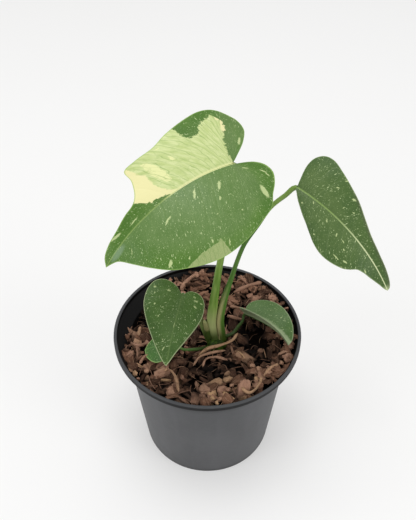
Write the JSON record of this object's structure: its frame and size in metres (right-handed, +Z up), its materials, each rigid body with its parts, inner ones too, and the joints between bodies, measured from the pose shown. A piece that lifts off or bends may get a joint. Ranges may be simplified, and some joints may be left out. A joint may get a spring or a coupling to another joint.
{
  "type": "potted variegated monstera",
  "caption": "Young potted monstera: split and heart-shaped variegated leaves on slender stalks that rise from a crown in bark mix, in a round tapered nursery pot.",
  "frame": {"origin": "the middle of the pot's underside, in the plane that it stands on", "axes": "+Z is up along the pot's axis; the large leaf points towards -X and -Y, the second leaf towards +X"},
  "size_m": [0.1597, 0.12, 0.2443],
  "materials": {
    "pot": "satin dark grey",
    "mix": "rough brown bark and coconut husk",
    "crown": "green stem with cream streaks",
    "stalk": "smooth fresh green",
    "leaf": "satin green with cream specks",
    "leaf_cream": "satin green and cream in large sectors"
  },
  "bodies": {
    "root": {"pot": "pot", "potting_mix": "mix", "stem": "crown", "petiole_large": "stalk", "leaf_large": "leaf_cream", "petiole_right": "stalk", "leaf_right": "leaf", "petiole_heart": "stalk", "leaf_heart": "leaf", "petiole_low_left": "stalk", "leaf_low_left": "leaf", "petiole_low_right": "stalk", "leaf_low_right": "leaf"}
  },
  "joints": []
}
